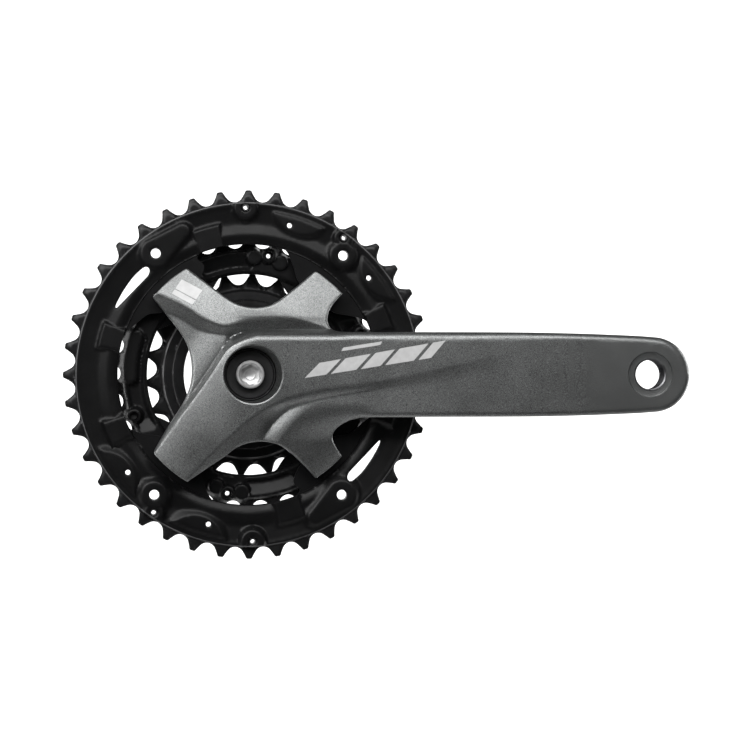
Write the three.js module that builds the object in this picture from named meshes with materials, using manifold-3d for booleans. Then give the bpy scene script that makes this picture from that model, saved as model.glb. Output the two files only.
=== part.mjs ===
// Drive-side bicycle crankset: a forged crank arm with a four-arm spider, three chainrings, their
// bolts, spacers and lift pins, and the fixing bolt that draws the arm onto a square spindle.
//
// Sizes are in millimetres. Every piece is modelled lying down: x runs along the crank arm, y is up
// and z points outboard, away from the bicycle. The group's rotation then stands it upright, so
// that +Z is up and the outboard side faces -Y. The origin is on the spindle axis, midway through
// the outer chainring's teeth.
import * as THREE from "three";
import { mergeVertices } from "three/addons/utils/BufferGeometryUtils.js";
import Module from "manifold-3d";

// Chain and teeth
const PITCH = 12.7;
const ROLLER_SEAT_R = 3.97;
const SEAT_HALF_ANGLE = 58;
const SEAT_STEPS = 4;
const TOOTH_TIP_HALF_WIDTH = 1.05;
const TOOTH_THICK = 2;
const OUTER = { teeth: 40, tipR: 82.2, firstTooth: 0, z: 0 };
const MIDDLE = { teeth: 30, tipR: 62, firstTooth: 5.5, z: -8 };
const INNER = { teeth: 22, tipR: 45.8, firstTooth: 4.9, z: -16 };

// Outer chainring body
const OUTER_BODY_R = 76.6;
const OUTER_BORE_R = 58;
const OUTER_FACE_Z = 3.2;
const OUTER_BOSS_Z = 4;
const OUTER_TAB = { innerR: 46.5, outerR: 59, innerHalf: 13.5, outerHalf: 25.5 };
const OUTER_TAB_LEANS = [0, 5.5, 0, 5.5];
const TAB_NOSE_R = 6.6;
const SLOTS = { innerR: 62.2, outerR: 66.3, from: 133.5, to: 153 };

// Middle and inner chainring bodies
const MIDDLE_BORE_R = 45;
const MIDDLE_TAB = { innerR: 40.5, outerR: 46, innerHalf: 17, outerHalf: 24.5 };
const INNER_BORE_R = 28.4;
const INNER_STEP_R = 38;
const INNER_SEAT_Z = -12.3;

// Ring fasteners; the bolt angles are measured from the crank arm's line
const BOLT_ANGLES = [49, 131, 229, 311];
const OUTER_BOLT_CIRCLE_R = 48.5;
const INNER_BOLT_CIRCLE_R = 32;
const BOLT_R = 4;
const BOLT_HEAD_R = 5.6;
const BOLT_HEAD_THICK = 2.2;
const BOLT_KEY_R = 2.9;
const BOLT_KEY_DEPTH = 1.6;
const BOLT_IN_SPIDER = 4.5;
const SPACER_R = 6;

// Holes and lift pins, each as [radius, angle]
const GUARD_HOLES = [[67.7, 51.6], [67.7, 127.6], [67.7, 231.6], [67.7, 307.6]];
const GUARD_HOLE_R = 2.15;
const GUARD_BOSS_R = 6;
const SMALL_HOLES = [[68.8, 39], [68.8, 75], [68.8, 219], [68.8, 255]];
const SMALL_HOLE_R = 1.15;
const OUTER_PINS = [[74.2, 55.3], [74.2, 91.2], [74.2, 235.3], [74.2, 271.2]];
const MIDDLE_PINS = [[54, 80.2], [54, 260.2], [54, 20], [54, 200]];
const PIN_R = 1.6;
const PIN_HEAD_R = 2.5;
const PIN_HEAD_THICK = 1.6;
const PIN_BORE_R = 1.05;

// Crank arm
const CRANK_LENGTH = 175;
const EYE_R = 16.6;
const EYE_CENTRE_X = CRANK_LENGTH + 1.4;
const EYE_BACK_Z = 19;
const PEDAL_HOLE_R = 6.5;
const PEDAL_FACE_Z = 32;
const PEDAL_SEAT_R = 10.9;
const PEDAL_SEAT_DEPTH = 0.5;
const SPIDER_END_R = 54.6;
const SPIDER_BACK_Z = 1.3;
const HUB_FRONT_Z = 17;
const HUB_BACK_Z = -16;
const HUB_BACK_R = 15.5;
const POST_R = 6.2;
const RECESS_R = 11.7;
const RECESS_FLOOR_Z = 6;
const RECESS_RIM_R = 13.4;
const RECESS_RIM_DEPTH = 2.4;
const SOCKET_FLAT = 12.7;
const SOCKET_TAPER = 2;

// Fixing bolt and its washer
const WASHER_R = 11.4;
const WASHER_THICK = 1.7;
const FIX_THREAD_R = 4;
const FIX_HEAD_R = 6.2;
const FIX_HEAD_THICK = 4.4;
const FIX_KEY_FLAT = 8;
const FIX_KEY_DEPTH = 3.6;
const FIX_END_Z = -8;

const GAP = 0.3;

const wasm = await Module();
wasm.setup();

const CENTRE = new THREE.Vector2();
const radians = (degrees) => (degrees * Math.PI) / 180;
const polar = ([radius, degrees]) =>
  new THREE.Vector2(
    radius * Math.cos(radians(degrees)),
    radius * Math.sin(radians(degrees)),
  );

// ---- solids: three.js geometry in, booleans by manifold-3d, geometry out ----

function solid(geometry) {
  const bare = geometry.clone();
  bare.deleteAttribute("normal");
  bare.deleteAttribute("uv");
  const merged = mergeVertices(bare, 1e-4);
  return new wasm.Manifold(
    new wasm.Mesh({
      numProp: 3,
      vertProperties: merged.attributes.position.array,
      triVerts: new Uint32Array(merged.index.array),
    }),
  );
}

function geometryOf(body) {
  const mesh = body.getMesh();
  const geometry = new THREE.BufferGeometry();
  geometry.setAttribute("position", new THREE.BufferAttribute(mesh.vertProperties, 3));
  geometry.setIndex(new THREE.BufferAttribute(mesh.triVerts, 1));
  geometry.computeVertexNormals();
  return geometry;
}

const join = (...bodies) => bodies.reduce((all, body) => all.add(body));
const cut = (body, ...tools) => tools.reduce((left, tool) => left.subtract(tool), body);

// A shape extruded along z from z0 to z1.
function prism(shape, z0, z1, curveSegments = 12) {
  const options = { depth: z1 - z0, bevelEnabled: false, curveSegments };
  return solid(new THREE.ExtrudeGeometry(shape, options).translate(0, 0, z0));
}

// A cylinder, cone or many-sided bar along z, from radius at z0 to endRadius at z1.
function rod(radius, z0, z1, centre = CENTRE, sides = 24, endRadius = radius) {
  const geometry = new THREE.CylinderGeometry(endRadius, radius, z1 - z0, sides);
  geometry.rotateX(Math.PI / 2);
  geometry.translate(centre.x, centre.y, (z0 + z1) / 2);
  return solid(geometry);
}

const rods = (places, radius, z0, z1, sides) =>
  places.map((place) => rod(radius, z0, z1, polar(place), sides));

// A profile of [radius, z] points turned about z. It starts and ends on the axis.
function turned(profile, sides = 48) {
  const points = profile.map(([radius, z]) => new THREE.Vector2(radius, z));
  return solid(new THREE.LatheGeometry(points, sides).rotateX(Math.PI / 2));
}

function annulus(outerR, innerR) {
  const shape = new THREE.Shape().absarc(0, 0, outerR, 0, 2 * Math.PI);
  shape.holes.push(new THREE.Path().absarc(0, 0, innerR, 0, 2 * Math.PI, true));
  return shape;
}

// Part of an annulus, between two angles in degrees.
function sector(innerR, outerR, from, to) {
  const shape = new THREE.Shape();
  shape.absarc(0, 0, outerR, radians(from), radians(to));
  shape.absarc(0, 0, innerR, radians(to), radians(from), true);
  return shape;
}

// A tab that reaches inward from a ring. Its outer arc can lean round from its inner arc.
function tabShape(angle, lean, { innerR, outerR, innerHalf, outerHalf }) {
  const shape = new THREE.Shape();
  const middle = angle + lean;
  shape.absarc(0, 0, outerR, radians(middle - outerHalf), radians(middle + outerHalf));
  shape.absarc(0, 0, innerR, radians(angle + innerHalf), radians(angle - innerHalf), true);
  return shape;
}

// ---- chainrings ----

// The toothed outline: a roller seat arc between each two teeth, straight flanks up to the tips.
function toothedShape({ teeth, tipR, firstTooth }) {
  const pitchR = PITCH / (2 * Math.sin(Math.PI / teeth));
  const tipHalfAngle = TOOTH_TIP_HALF_WIDTH / tipR;
  const points = [];
  for (let tooth = 0; tooth < teeth; tooth++) {
    const toothAngle = radians(firstTooth) + (2 * Math.PI * tooth) / teeth;
    for (const side of [-1, 1]) {
      const angle = toothAngle + side * tipHalfAngle;
      points.push(new THREE.Vector2(tipR * Math.cos(angle), tipR * Math.sin(angle)));
    }
    const seatAngle = toothAngle + Math.PI / teeth;
    for (let step = 0; step <= SEAT_STEPS; step++) {
      const turn = radians(SEAT_HALF_ANGLE) * (1 - (2 * step) / SEAT_STEPS);
      const inward = seatAngle + Math.PI + turn;
      points.push(
        new THREE.Vector2(
          pitchR * Math.cos(seatAngle) + ROLLER_SEAT_R * Math.cos(inward),
          pitchR * Math.sin(seatAngle) + ROLLER_SEAT_R * Math.sin(inward),
        ),
      );
    }
  }
  return new THREE.Shape(points);
}

function toothPlate(ring, boreR) {
  const shape = toothedShape(ring);
  shape.holes.push(new THREE.Path().absarc(0, 0, boreR, 0, 2 * Math.PI, true));
  return prism(shape, ring.z - TOOTH_THICK / 2, ring.z + TOOTH_THICK / 2, 24);
}

const boltPlaces = (circleR) => BOLT_ANGLES.map((angle) => [circleR, angle]);

function outerChainring() {
  const back = -TOOTH_THICK / 2;
  const front = TOOTH_THICK / 2;
  const below = back - 1;
  const above = OUTER_BOSS_Z + 1;
  const body = prism(annulus(OUTER_BODY_R, OUTER_BORE_R), back, OUTER_FACE_Z, 30);
  const tabs = BOLT_ANGLES.map((angle, i) =>
    prism(tabShape(angle, OUTER_TAB_LEANS[i], OUTER_TAB), back, front, 6),
  );
  const slots = [0, 180].map((turn) => {
    const { innerR, outerR, from, to } = SLOTS;
    return prism(sector(innerR, outerR, from + turn, to + turn), below, above, 6);
  });
  return cut(
    join(
      toothPlate(OUTER, OUTER_BODY_R - 6),
      body,
      ...tabs,
      ...rods(boltPlaces(OUTER_BOLT_CIRCLE_R), TAB_NOSE_R, back, front, 24),
      ...rods(GUARD_HOLES, GUARD_BOSS_R, 0, OUTER_BOSS_Z, 24),
    ),
    ...slots,
    ...rods(GUARD_HOLES, GUARD_HOLE_R, below, above, 16),
    ...rods(SMALL_HOLES, SMALL_HOLE_R, below, above, 10),
    ...rods(OUTER_PINS, PIN_R + GAP, below, above, 12),
    ...rods(boltPlaces(OUTER_BOLT_CIRCLE_R), BOLT_R + GAP, below, above, 16),
  );
}

function middleChainring() {
  const below = MIDDLE.z - TOOTH_THICK;
  const above = MIDDLE.z + TOOTH_THICK;
  const back = MIDDLE.z - TOOTH_THICK / 2;
  const front = MIDDLE.z + TOOTH_THICK / 2;
  const tabs = BOLT_ANGLES.map((angle) => prism(tabShape(angle, -1, MIDDLE_TAB), back, front, 6));
  return cut(
    join(toothPlate(MIDDLE, MIDDLE_BORE_R), ...tabs),
    ...rods(MIDDLE_PINS, PIN_R + GAP, below, above, 12),
    ...rods(boltPlaces(OUTER_BOLT_CIRCLE_R), BOLT_R + GAP, below, above, 16),
  );
}

function innerChainring() {
  const back = INNER.z - TOOTH_THICK / 2;
  const places = boltPlaces(INNER_BOLT_CIRCLE_R);
  return cut(
    join(
      toothPlate(INNER, INNER_BORE_R),
      prism(annulus(INNER_STEP_R, INNER_BORE_R), back, INNER_SEAT_Z - 1, 24),
      ...rods(places, POST_R + 0.6, back, INNER_SEAT_Z, 24),
    ),
    ...rods(places, BOLT_R + GAP, back - 1, INNER_SEAT_Z + 1, 16),
  );
}

// ---- fasteners ----

// A ring bolt: its head behind the ring, with a six-sided key socket, and its shank outboard.
function ringBolt(headFrontZ, shankEndZ) {
  const headBackZ = headFrontZ - BOLT_HEAD_THICK;
  return cut(
    join(
      rod(BOLT_HEAD_R, headBackZ, headFrontZ),
      rod(BOLT_R, headFrontZ - 0.5, shankEndZ, CENTRE, 16),
    ),
    rod(BOLT_KEY_R, headBackZ - 1, headBackZ + BOLT_KEY_DEPTH, CENTRE, 6),
  );
}

function ringSpacer() {
  const back = MIDDLE.z + TOOTH_THICK / 2 + GAP;
  const front = -TOOTH_THICK / 2 - GAP;
  return prism(annulus(SPACER_R, BOLT_R + GAP), back, front, 12);
}

// A lift pin: a rivet whose head stands inboard of its ring, where it picks up the chain.
function liftPin(plateBackZ, endZ, hollow) {
  const headFront = plateBackZ - GAP;
  const headBack = headFront - PIN_HEAD_THICK;
  const pin = join(
    rod(PIN_HEAD_R, headBack, headFront, CENTRE, 16),
    rod(PIN_R, headFront - 0.5, endZ, CENTRE, 12),
  );
  if (!hollow) return pin;
  return cut(pin, rod(PIN_BORE_R, headBack - 1, endZ + 1, CENTRE, 8));
}

function fixingBolt() {
  const headBack = RECESS_FLOOR_Z + GAP + WASHER_THICK + GAP;
  const headFront = headBack + FIX_HEAD_THICK;
  const profile = [
    [0, FIX_END_Z],
    [FIX_THREAD_R - 0.8, FIX_END_Z],
    [FIX_THREAD_R, FIX_END_Z + 0.8],
    [FIX_THREAD_R, headBack],
    [FIX_HEAD_R, headBack],
    [FIX_HEAD_R, headFront - 0.6],
    [FIX_HEAD_R - 0.6, headFront],
    [0, headFront],
  ];
  const keyR = FIX_KEY_FLAT / Math.sqrt(3);
  return cut(turned(profile, 24), rod(keyR, headFront - FIX_KEY_DEPTH, headFront + 1, CENTRE, 6));
}

function fixingWasher() {
  const back = RECESS_FLOOR_Z + GAP;
  return prism(annulus(WASHER_R, FIX_THREAD_R + GAP), back, back + WASHER_THICK, 18);
}

// ---- crank arm ----

// The plan outline of the hub and its four arms, one window after another.
function spiderShape() {
  const shape = new THREE.Shape();
  shape.absarc(0, 0, SPIDER_END_R, radians(41), radians(57.3));
  // top window, between the upper arms
  shape.lineTo(15.6, 33.6);
  shape.bezierCurveTo(9, 27.6, -3, 27.8, -9.5, 33.6);
  shape.absarc(0, 0, SPIDER_END_R, radians(120.8), radians(141));
  // left window
  shape.lineTo(-31.5, 20.8);
  shape.bezierCurveTo(-20.5, 8, -21, -3, -29.5, -15.2);
  shape.absarc(0, 0, SPIDER_END_R, radians(219.6), radians(239.6));
  // bottom window, between the lower arms
  shape.lineTo(-7.5, -33.2);
  shape.bezierCurveTo(-1.5, -27.6, 10, -27.8, 17, -33);
  shape.absarc(0, 0, SPIDER_END_R, radians(302.8), radians(318.8));
  // notches below and above the crank arm
  shape.quadraticCurveTo(33.5, -23.5, 41.3, -21.5);
  shape.lineTo(50, -18.6);
  shape.lineTo(50, 18.6);
  shape.lineTo(38, 18.8);
  shape.quadraticCurveTo(31, 22, 36.2, 30);
  return shape;
}

// The side profile of the spider, turned about the axis: its arms fall back towards their ends.
const SPIDER_PROFILE = [
  [0, SPIDER_BACK_Z],
  [58, SPIDER_BACK_Z],
  [58, 5.8],
  [SPIDER_END_R - 2, 7.4],
  [30, 12],
  [17, HUB_FRONT_Z],
  [0, HUB_FRONT_Z],
];

// The crank arm's plan outline: nearly parallel edges that run into the round pedal eye.
function armPlanShape() {
  const shape = new THREE.Shape();
  shape.absarc(0, 0, 17.4, radians(90), radians(270));
  shape.lineTo(50, -18.6);
  shape.lineTo(125, -18.5);
  shape.lineTo(153, -17.7);
  shape.absarc(EYE_CENTRE_X, 0, EYE_R, radians(-87), radians(87));
  shape.lineTo(153, 17.7);
  shape.lineTo(125, 18.5);
  shape.lineTo(50, 18.6);
  return shape;
}

// The arm's side outline, x against z: it bows outboard from the hub to the pedal eye.
function armSideShape() {
  const shape = new THREE.Shape();
  shape.moveTo(-20, SPIDER_BACK_Z);
  shape.lineTo(36, SPIDER_BACK_Z);
  shape.quadraticCurveTo(46, 2.5, 56, 6);
  shape.quadraticCurveTo(120, 18, 156, EYE_BACK_Z);
  shape.lineTo(200, EYE_BACK_Z);
  shape.lineTo(200, PEDAL_FACE_Z);
  shape.lineTo(160, PEDAL_FACE_Z);
  shape.quadraticCurveTo(125, PEDAL_FACE_Z - 0.5, 80, 25.5);
  shape.quadraticCurveTo(40, 19, 15, HUB_FRONT_Z);
  shape.lineTo(-20, HUB_FRONT_Z);
  return shape;
}

function armBeam() {
  const depth = 60;
  const side = new THREE.ExtrudeGeometry(armSideShape(), {
    depth,
    bevelEnabled: false,
    curveSegments: 8,
  });
  side.rotateX(Math.PI / 2);
  side.translate(0, depth / 2, 0);
  return prism(armPlanShape(), 0, PEDAL_FACE_Z + 1, 18).intersect(solid(side));
}

// The spindle's square taper socket: four sides that open out towards the inboard end.
function spindleSocket() {
  const corner = (flat) => flat / Math.SQRT2;
  const front = RECESS_FLOOR_Z + 1;
  const back = HUB_BACK_Z - 1;
  const widening = 2 * (front - back) * Math.tan(radians(SOCKET_TAPER));
  return rod(corner(SOCKET_FLAT + widening), back, front, CENTRE, 4, corner(SOCKET_FLAT));
}

function crankArm() {
  const spider = prism(spiderShape(), 0, HUB_FRONT_Z + 1, 10).intersect(turned(SPIDER_PROFILE));
  const postEnd = INNER_SEAT_Z + GAP;
  const hubBack = rod(HUB_BACK_R, HUB_BACK_Z, SPIDER_BACK_Z + 1, CENTRE, 36, HUB_BACK_R + 2);
  const rimZ = HUB_FRONT_Z + 2;
  const rimR = RECESS_RIM_R + (2 * (RECESS_RIM_R - RECESS_R)) / RECESS_RIM_DEPTH;
  const eye = new THREE.Vector2(CRANK_LENGTH, 0);
  const seatZ = PEDAL_FACE_Z - PEDAL_SEAT_DEPTH;
  const outerThreads = rods(
    boltPlaces(OUTER_BOLT_CIRCLE_R),
    BOLT_R + GAP,
    SPIDER_BACK_Z - 1,
    SPIDER_BACK_Z + BOLT_IN_SPIDER + GAP,
    16,
  );
  const innerThreads = rods(
    boltPlaces(INNER_BOLT_CIRCLE_R),
    BOLT_R + GAP,
    postEnd - 1,
    postEnd + BOLT_IN_SPIDER + 4 + GAP,
    16,
  );
  return cut(
    join(
      spider,
      armBeam(),
      hubBack,
      ...rods(boltPlaces(INNER_BOLT_CIRCLE_R), POST_R, postEnd, SPIDER_BACK_Z + 1, 20),
    ),
    rod(RECESS_R, RECESS_FLOOR_Z, HUB_FRONT_Z + 4, CENTRE, 40),
    rod(RECESS_R, HUB_FRONT_Z - RECESS_RIM_DEPTH, rimZ, CENTRE, 40, rimR),
    spindleSocket().rotate([0, 0, 45]),
    rod(PEDAL_HOLE_R, 0, PEDAL_FACE_Z + 1, eye, 32),
    rod(PEDAL_SEAT_R, seatZ, PEDAL_FACE_Z + 1, eye, 32),
    ...outerThreads,
    ...innerThreads,
  );
}

// ---- assembly ----

const ALLOY = { color: 0x4b4d50, roughness: 0.38, metalness: 0.9 };
const RING_BLACK = { color: 0x1b1c1e, roughness: 0.5, metalness: 0.6 };
const RING_STEEL = { color: 0x2a2c30, roughness: 0.42, metalness: 0.85 };
const STEEL = { color: 0xb9bcc0, roughness: 0.28, metalness: 1 };
const BLACK_STEEL = { color: 0x151516, roughness: 0.5, metalness: 0.7 };

const crankset = new THREE.Group();
crankset.name = "crankset";

function addPiece(name, body, look, place = CENTRE) {
  const mesh = new THREE.Mesh(geometryOf(body), new THREE.MeshStandardMaterial(look));
  mesh.name = name;
  mesh.position.set(place.x, place.y, 0);
  crankset.add(mesh);
}

addPiece("crank_arm", crankArm(), ALLOY);
addPiece("outer_chainring", outerChainring(), RING_BLACK);
addPiece("middle_chainring", middleChainring(), RING_STEEL);
addPiece("inner_chainring", innerChainring(), RING_STEEL);
addPiece("fixing_washer", fixingWasher(), BLACK_STEEL);
addPiece("fixing_bolt", fixingBolt(), STEEL);

const ringHeadZ = MIDDLE.z - TOOTH_THICK / 2 - GAP;
const ringBoltEndZ = SPIDER_BACK_Z + BOLT_IN_SPIDER;
const innerHeadZ = INNER.z - TOOTH_THICK / 2 - GAP;
const innerBoltEndZ = INNER_SEAT_Z + GAP + BOLT_IN_SPIDER + 4;
BOLT_ANGLES.forEach((angle, i) => {
  const onOuterCircle = polar([OUTER_BOLT_CIRCLE_R, angle]);
  const onInnerCircle = polar([INNER_BOLT_CIRCLE_R, angle]);
  addPiece(`ring_spacer_${i + 1}`, ringSpacer(), RING_BLACK, onOuterCircle);
  addPiece(`ring_bolt_${i + 1}`, ringBolt(ringHeadZ, ringBoltEndZ), STEEL, onOuterCircle);
  addPiece(`inner_bolt_${i + 1}`, ringBolt(innerHeadZ, innerBoltEndZ), STEEL, onInnerCircle);
});
OUTER_PINS.forEach((place, i) => {
  const pin = liftPin(-TOOTH_THICK / 2, OUTER_FACE_Z + 0.2, true);
  addPiece(`outer_lift_pin_${i + 1}`, pin, STEEL, polar(place));
});
MIDDLE_PINS.forEach((place, i) => {
  const pin = liftPin(MIDDLE.z - TOOTH_THICK / 2, MIDDLE.z + TOOTH_THICK / 2 + 0.2, i < 2);
  addPiece(`middle_lift_pin_${i + 1}`, pin, STEEL, polar(place));
});

crankset.rotation.x = Math.PI / 2;

export default crankset;
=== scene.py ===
"""Looks of the bicycle crankset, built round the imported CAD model.

Shapes are laid out in plan, in millimetres: x along the crank arm, y up, and a height that points
outboard. The scene's frame is X = x, Y = -height, Z = y, in metres.
"""

import math

import bmesh
import bpy
import numpy as np
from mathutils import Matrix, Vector
from mathutils.geometry import delaunay_2d_cdt


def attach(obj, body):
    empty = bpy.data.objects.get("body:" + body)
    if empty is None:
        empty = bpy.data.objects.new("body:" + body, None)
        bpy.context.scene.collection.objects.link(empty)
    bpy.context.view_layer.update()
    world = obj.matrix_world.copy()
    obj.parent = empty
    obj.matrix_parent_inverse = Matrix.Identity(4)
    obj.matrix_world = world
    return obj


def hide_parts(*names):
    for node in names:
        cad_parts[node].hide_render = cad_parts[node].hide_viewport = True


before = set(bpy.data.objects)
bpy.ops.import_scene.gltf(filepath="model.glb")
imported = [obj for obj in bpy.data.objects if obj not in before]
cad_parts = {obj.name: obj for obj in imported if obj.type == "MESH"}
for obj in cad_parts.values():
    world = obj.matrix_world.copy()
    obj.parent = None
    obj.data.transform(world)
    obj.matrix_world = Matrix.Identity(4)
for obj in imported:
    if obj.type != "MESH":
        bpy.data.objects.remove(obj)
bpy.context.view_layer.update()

MM = 0.001

# Chainrings, as in the CAD model: tooth count, tip radius, radius between the teeth, angle of the
# first tooth in degrees and height of the plate's middle
CHAIN_PITCH = 12.7
ROLLER_SEAT_R = 3.97
OUTER = dict(teeth=40, tip_r=82.1, root_r=76.9, first=0.1, mid=0.0)
MIDDLE = dict(teeth=30, tip_r=61.9, root_r=56.8, first=5.5, mid=-8.0)
INNER = dict(teeth=22, tip_r=45.7, root_r=40.7, first=4.9, mid=-16.0)
TOOTH_HALF = 1.0
BOLT_ANGLES = (49, 131, 229, 311)
OUTER_BOLT_R = 48.5
INNER_BOLT_R = 32.0
BOLT_HOLE_R = 4.3
PIN_HOLE_R = 1.9

# Crank arm: radii of the spider's ends and of the pedal eye, and heights of its faces and backs
CRANK_LENGTH = 175.0
SPIDER_R = 54.6
EYE_R = 16.55
EYE_CENTRE = (176.4, 0.0)
EYE_BACK = 19.0
HUB_FACE = 17.0
PEDAL_FACE = 31.95
SPIDER_BACK = 1.3
HUB_BACK = -16.0
RECESS_FLOOR = 6.0
PEDAL_THREAD_PITCH = 1.27
BOLT_THREAD_PITCH = 1.0

# ---------------- plan geometry


def polar(radius, degrees):
    a = math.radians(degrees)
    return (radius * math.cos(a), radius * math.sin(a))


def around(radius, angles, centre=(0.0, 0.0)):
    """Points about centre at these angles, in radians."""
    x, y = centre[0] + radius * np.cos(angles), centre[1] + radius * np.sin(angles)
    return np.stack([x, y], axis=1)


def whole_turn(count):
    return np.linspace(0, 2 * np.pi, count, endpoint=False)


def arc(radius, start, end, step, centre=(0.0, 0.0)):
    """Points along an arc, angles in degrees, about step millimetres apart."""
    count = max(2, int(abs(math.radians(end - start)) * radius / step) + 1)
    return around(radius, np.radians(np.linspace(start, end, count)), centre)


def circle(radius, count, centre=(0.0, 0.0)):
    return around(radius, whole_turn(count), centre)


def radius_and_angle(p):
    """Distance from the axis and angle in degrees of each point."""
    return np.hypot(p[:, 0], p[:, 1]), np.degrees(np.arctan2(p[:, 1], p[:, 0]))


def resample(points, step, closed=False):
    """The same line with its points evenly spaced, about step apart."""
    points = np.asarray(points, float)
    if closed:
        points = np.vstack([points, points[:1]])
    lengths = np.linalg.norm(np.diff(points, axis=0), axis=1)
    along = np.concatenate([[0], np.cumsum(lengths)])
    count = max(2, int(round(along[-1] / step)))
    wanted = np.linspace(0, along[-1], count + 1)
    if closed:
        wanted = wanted[:-1]
    return np.stack([np.interp(wanted, along, points[:, i]) for i in (0, 1)], axis=1)


def curve(points, step, closed=False):
    """A smooth line through points (Catmull-Rom)."""
    p = [np.array(q, float) for q in points]
    if closed:
        p = [p[-1]] + p + [p[0], p[1]]
    else:
        p = [2 * p[0] - p[1]] + p + [2 * p[-1] - p[-2]]
    out = []
    for a, b, c, d in zip(p, p[1:], p[2:], p[3:]):
        for t in np.linspace(0, 1, 16, endpoint=False):
            out.append(0.5 * (2 * b + (c - a) * t + (2 * a - 5 * b + 4 * c - d) * t * t
                              + (3 * b - a - 3 * c + d) * t**3))
    if not closed:
        out.append(p[-2])
    return resample(out, step, closed)


def segments(line, closed):
    line = np.asarray(line, float)
    if closed:
        return line, np.roll(line, -1, axis=0)
    return line[:-1], line[1:]


def distance(points, line, closed=True):
    """Distance from each point to a line of straight segments."""
    a, b = segments(line, closed)
    ab = b - a
    length2 = np.maximum((ab**2).sum(1), 1e-12)
    out = np.empty(len(points))
    for start in range(0, len(points), 1500):
        p = points[start:start + 1500, None, :]
        t = np.clip(((p - a) * ab).sum(2) / length2, 0, 1)
        gap = p - a - t[..., None] * ab
        out[start:start + 1500] = np.sqrt((gap**2).sum(2)).min(1)
    return out


def inside(points, loops):
    """True for the points inside the first loop and outside the others."""
    odd = np.zeros(len(points), bool)
    x, y = points[:, 0:1], points[:, 1:2]
    for loop in loops:
        a, b = segments(loop, True)
        for start in range(0, len(points), 4000):
            rows = slice(start, start + 4000)
            crosses = (a[:, 1] > y[rows]) != (b[:, 1] > y[rows])
            rise = np.where(b[:, 1] == a[:, 1], 1e-12, b[:, 1] - a[:, 1])
            at = (b[:, 0] - a[:, 0]) * (y[rows] - a[:, 1]) / rise + a[:, 0]
            odd[rows] ^= ((crosses & (x[rows] < at)).sum(1) % 2).astype(bool)
    return odd


def smooth(t):
    """An eased step from 0 to 1."""
    t = np.clip(t, 0, 1)
    return t * t * (3 - 2 * t)


def between(value, start, end):
    """0 up to start and 1 from end on, eased between them. It may run downwards."""
    return smooth((value - start) / (end - start))


def higher(a, b, blend):
    """The higher of two surfaces, rounded where they meet."""
    return (a + b + np.sqrt((a - b) ** 2 + blend**2) - blend) / 2


def round_drop(s, radius, steepest):
    """Fall of a surface that curves away from s = 0 and goes on straight at its steepest slope."""
    bend = radius * np.sin(np.arctan(steepest))
    u = np.clip(s, 0, bend)
    return radius - np.sqrt(radius**2 - u**2) + steepest * np.maximum(s - bend, 0)


def fillet(d, radius, slope=1.9):
    """How far a rounded edge has fallen, d inside the outline."""
    return round_drop(radius * math.sin(math.atan(slope)) - d, radius, slope)


def hex_grid(low, high, step):
    """Points in offset rows that fill a rectangle."""
    gx, gy = np.meshgrid(np.arange(low[0], high[0], step), np.arange(low[1], high[1], step * 0.866))
    gx[1::2] += step / 2
    return np.stack([gx.ravel(), gy.ravel()], axis=1)


# ---------------- meshes


def new_object(name, data):
    """A new object, linked into the scene."""
    made = bpy.data.objects.new(name, data)
    bpy.context.scene.collection.objects.link(made)
    return made


def turned_rings(profile, count, centre=(0.0, 0.0)):
    """The rings that turn a profile of (radius, height) about centre."""
    return [(circle(radius, count, centre), height) for radius, height in profile]


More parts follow.
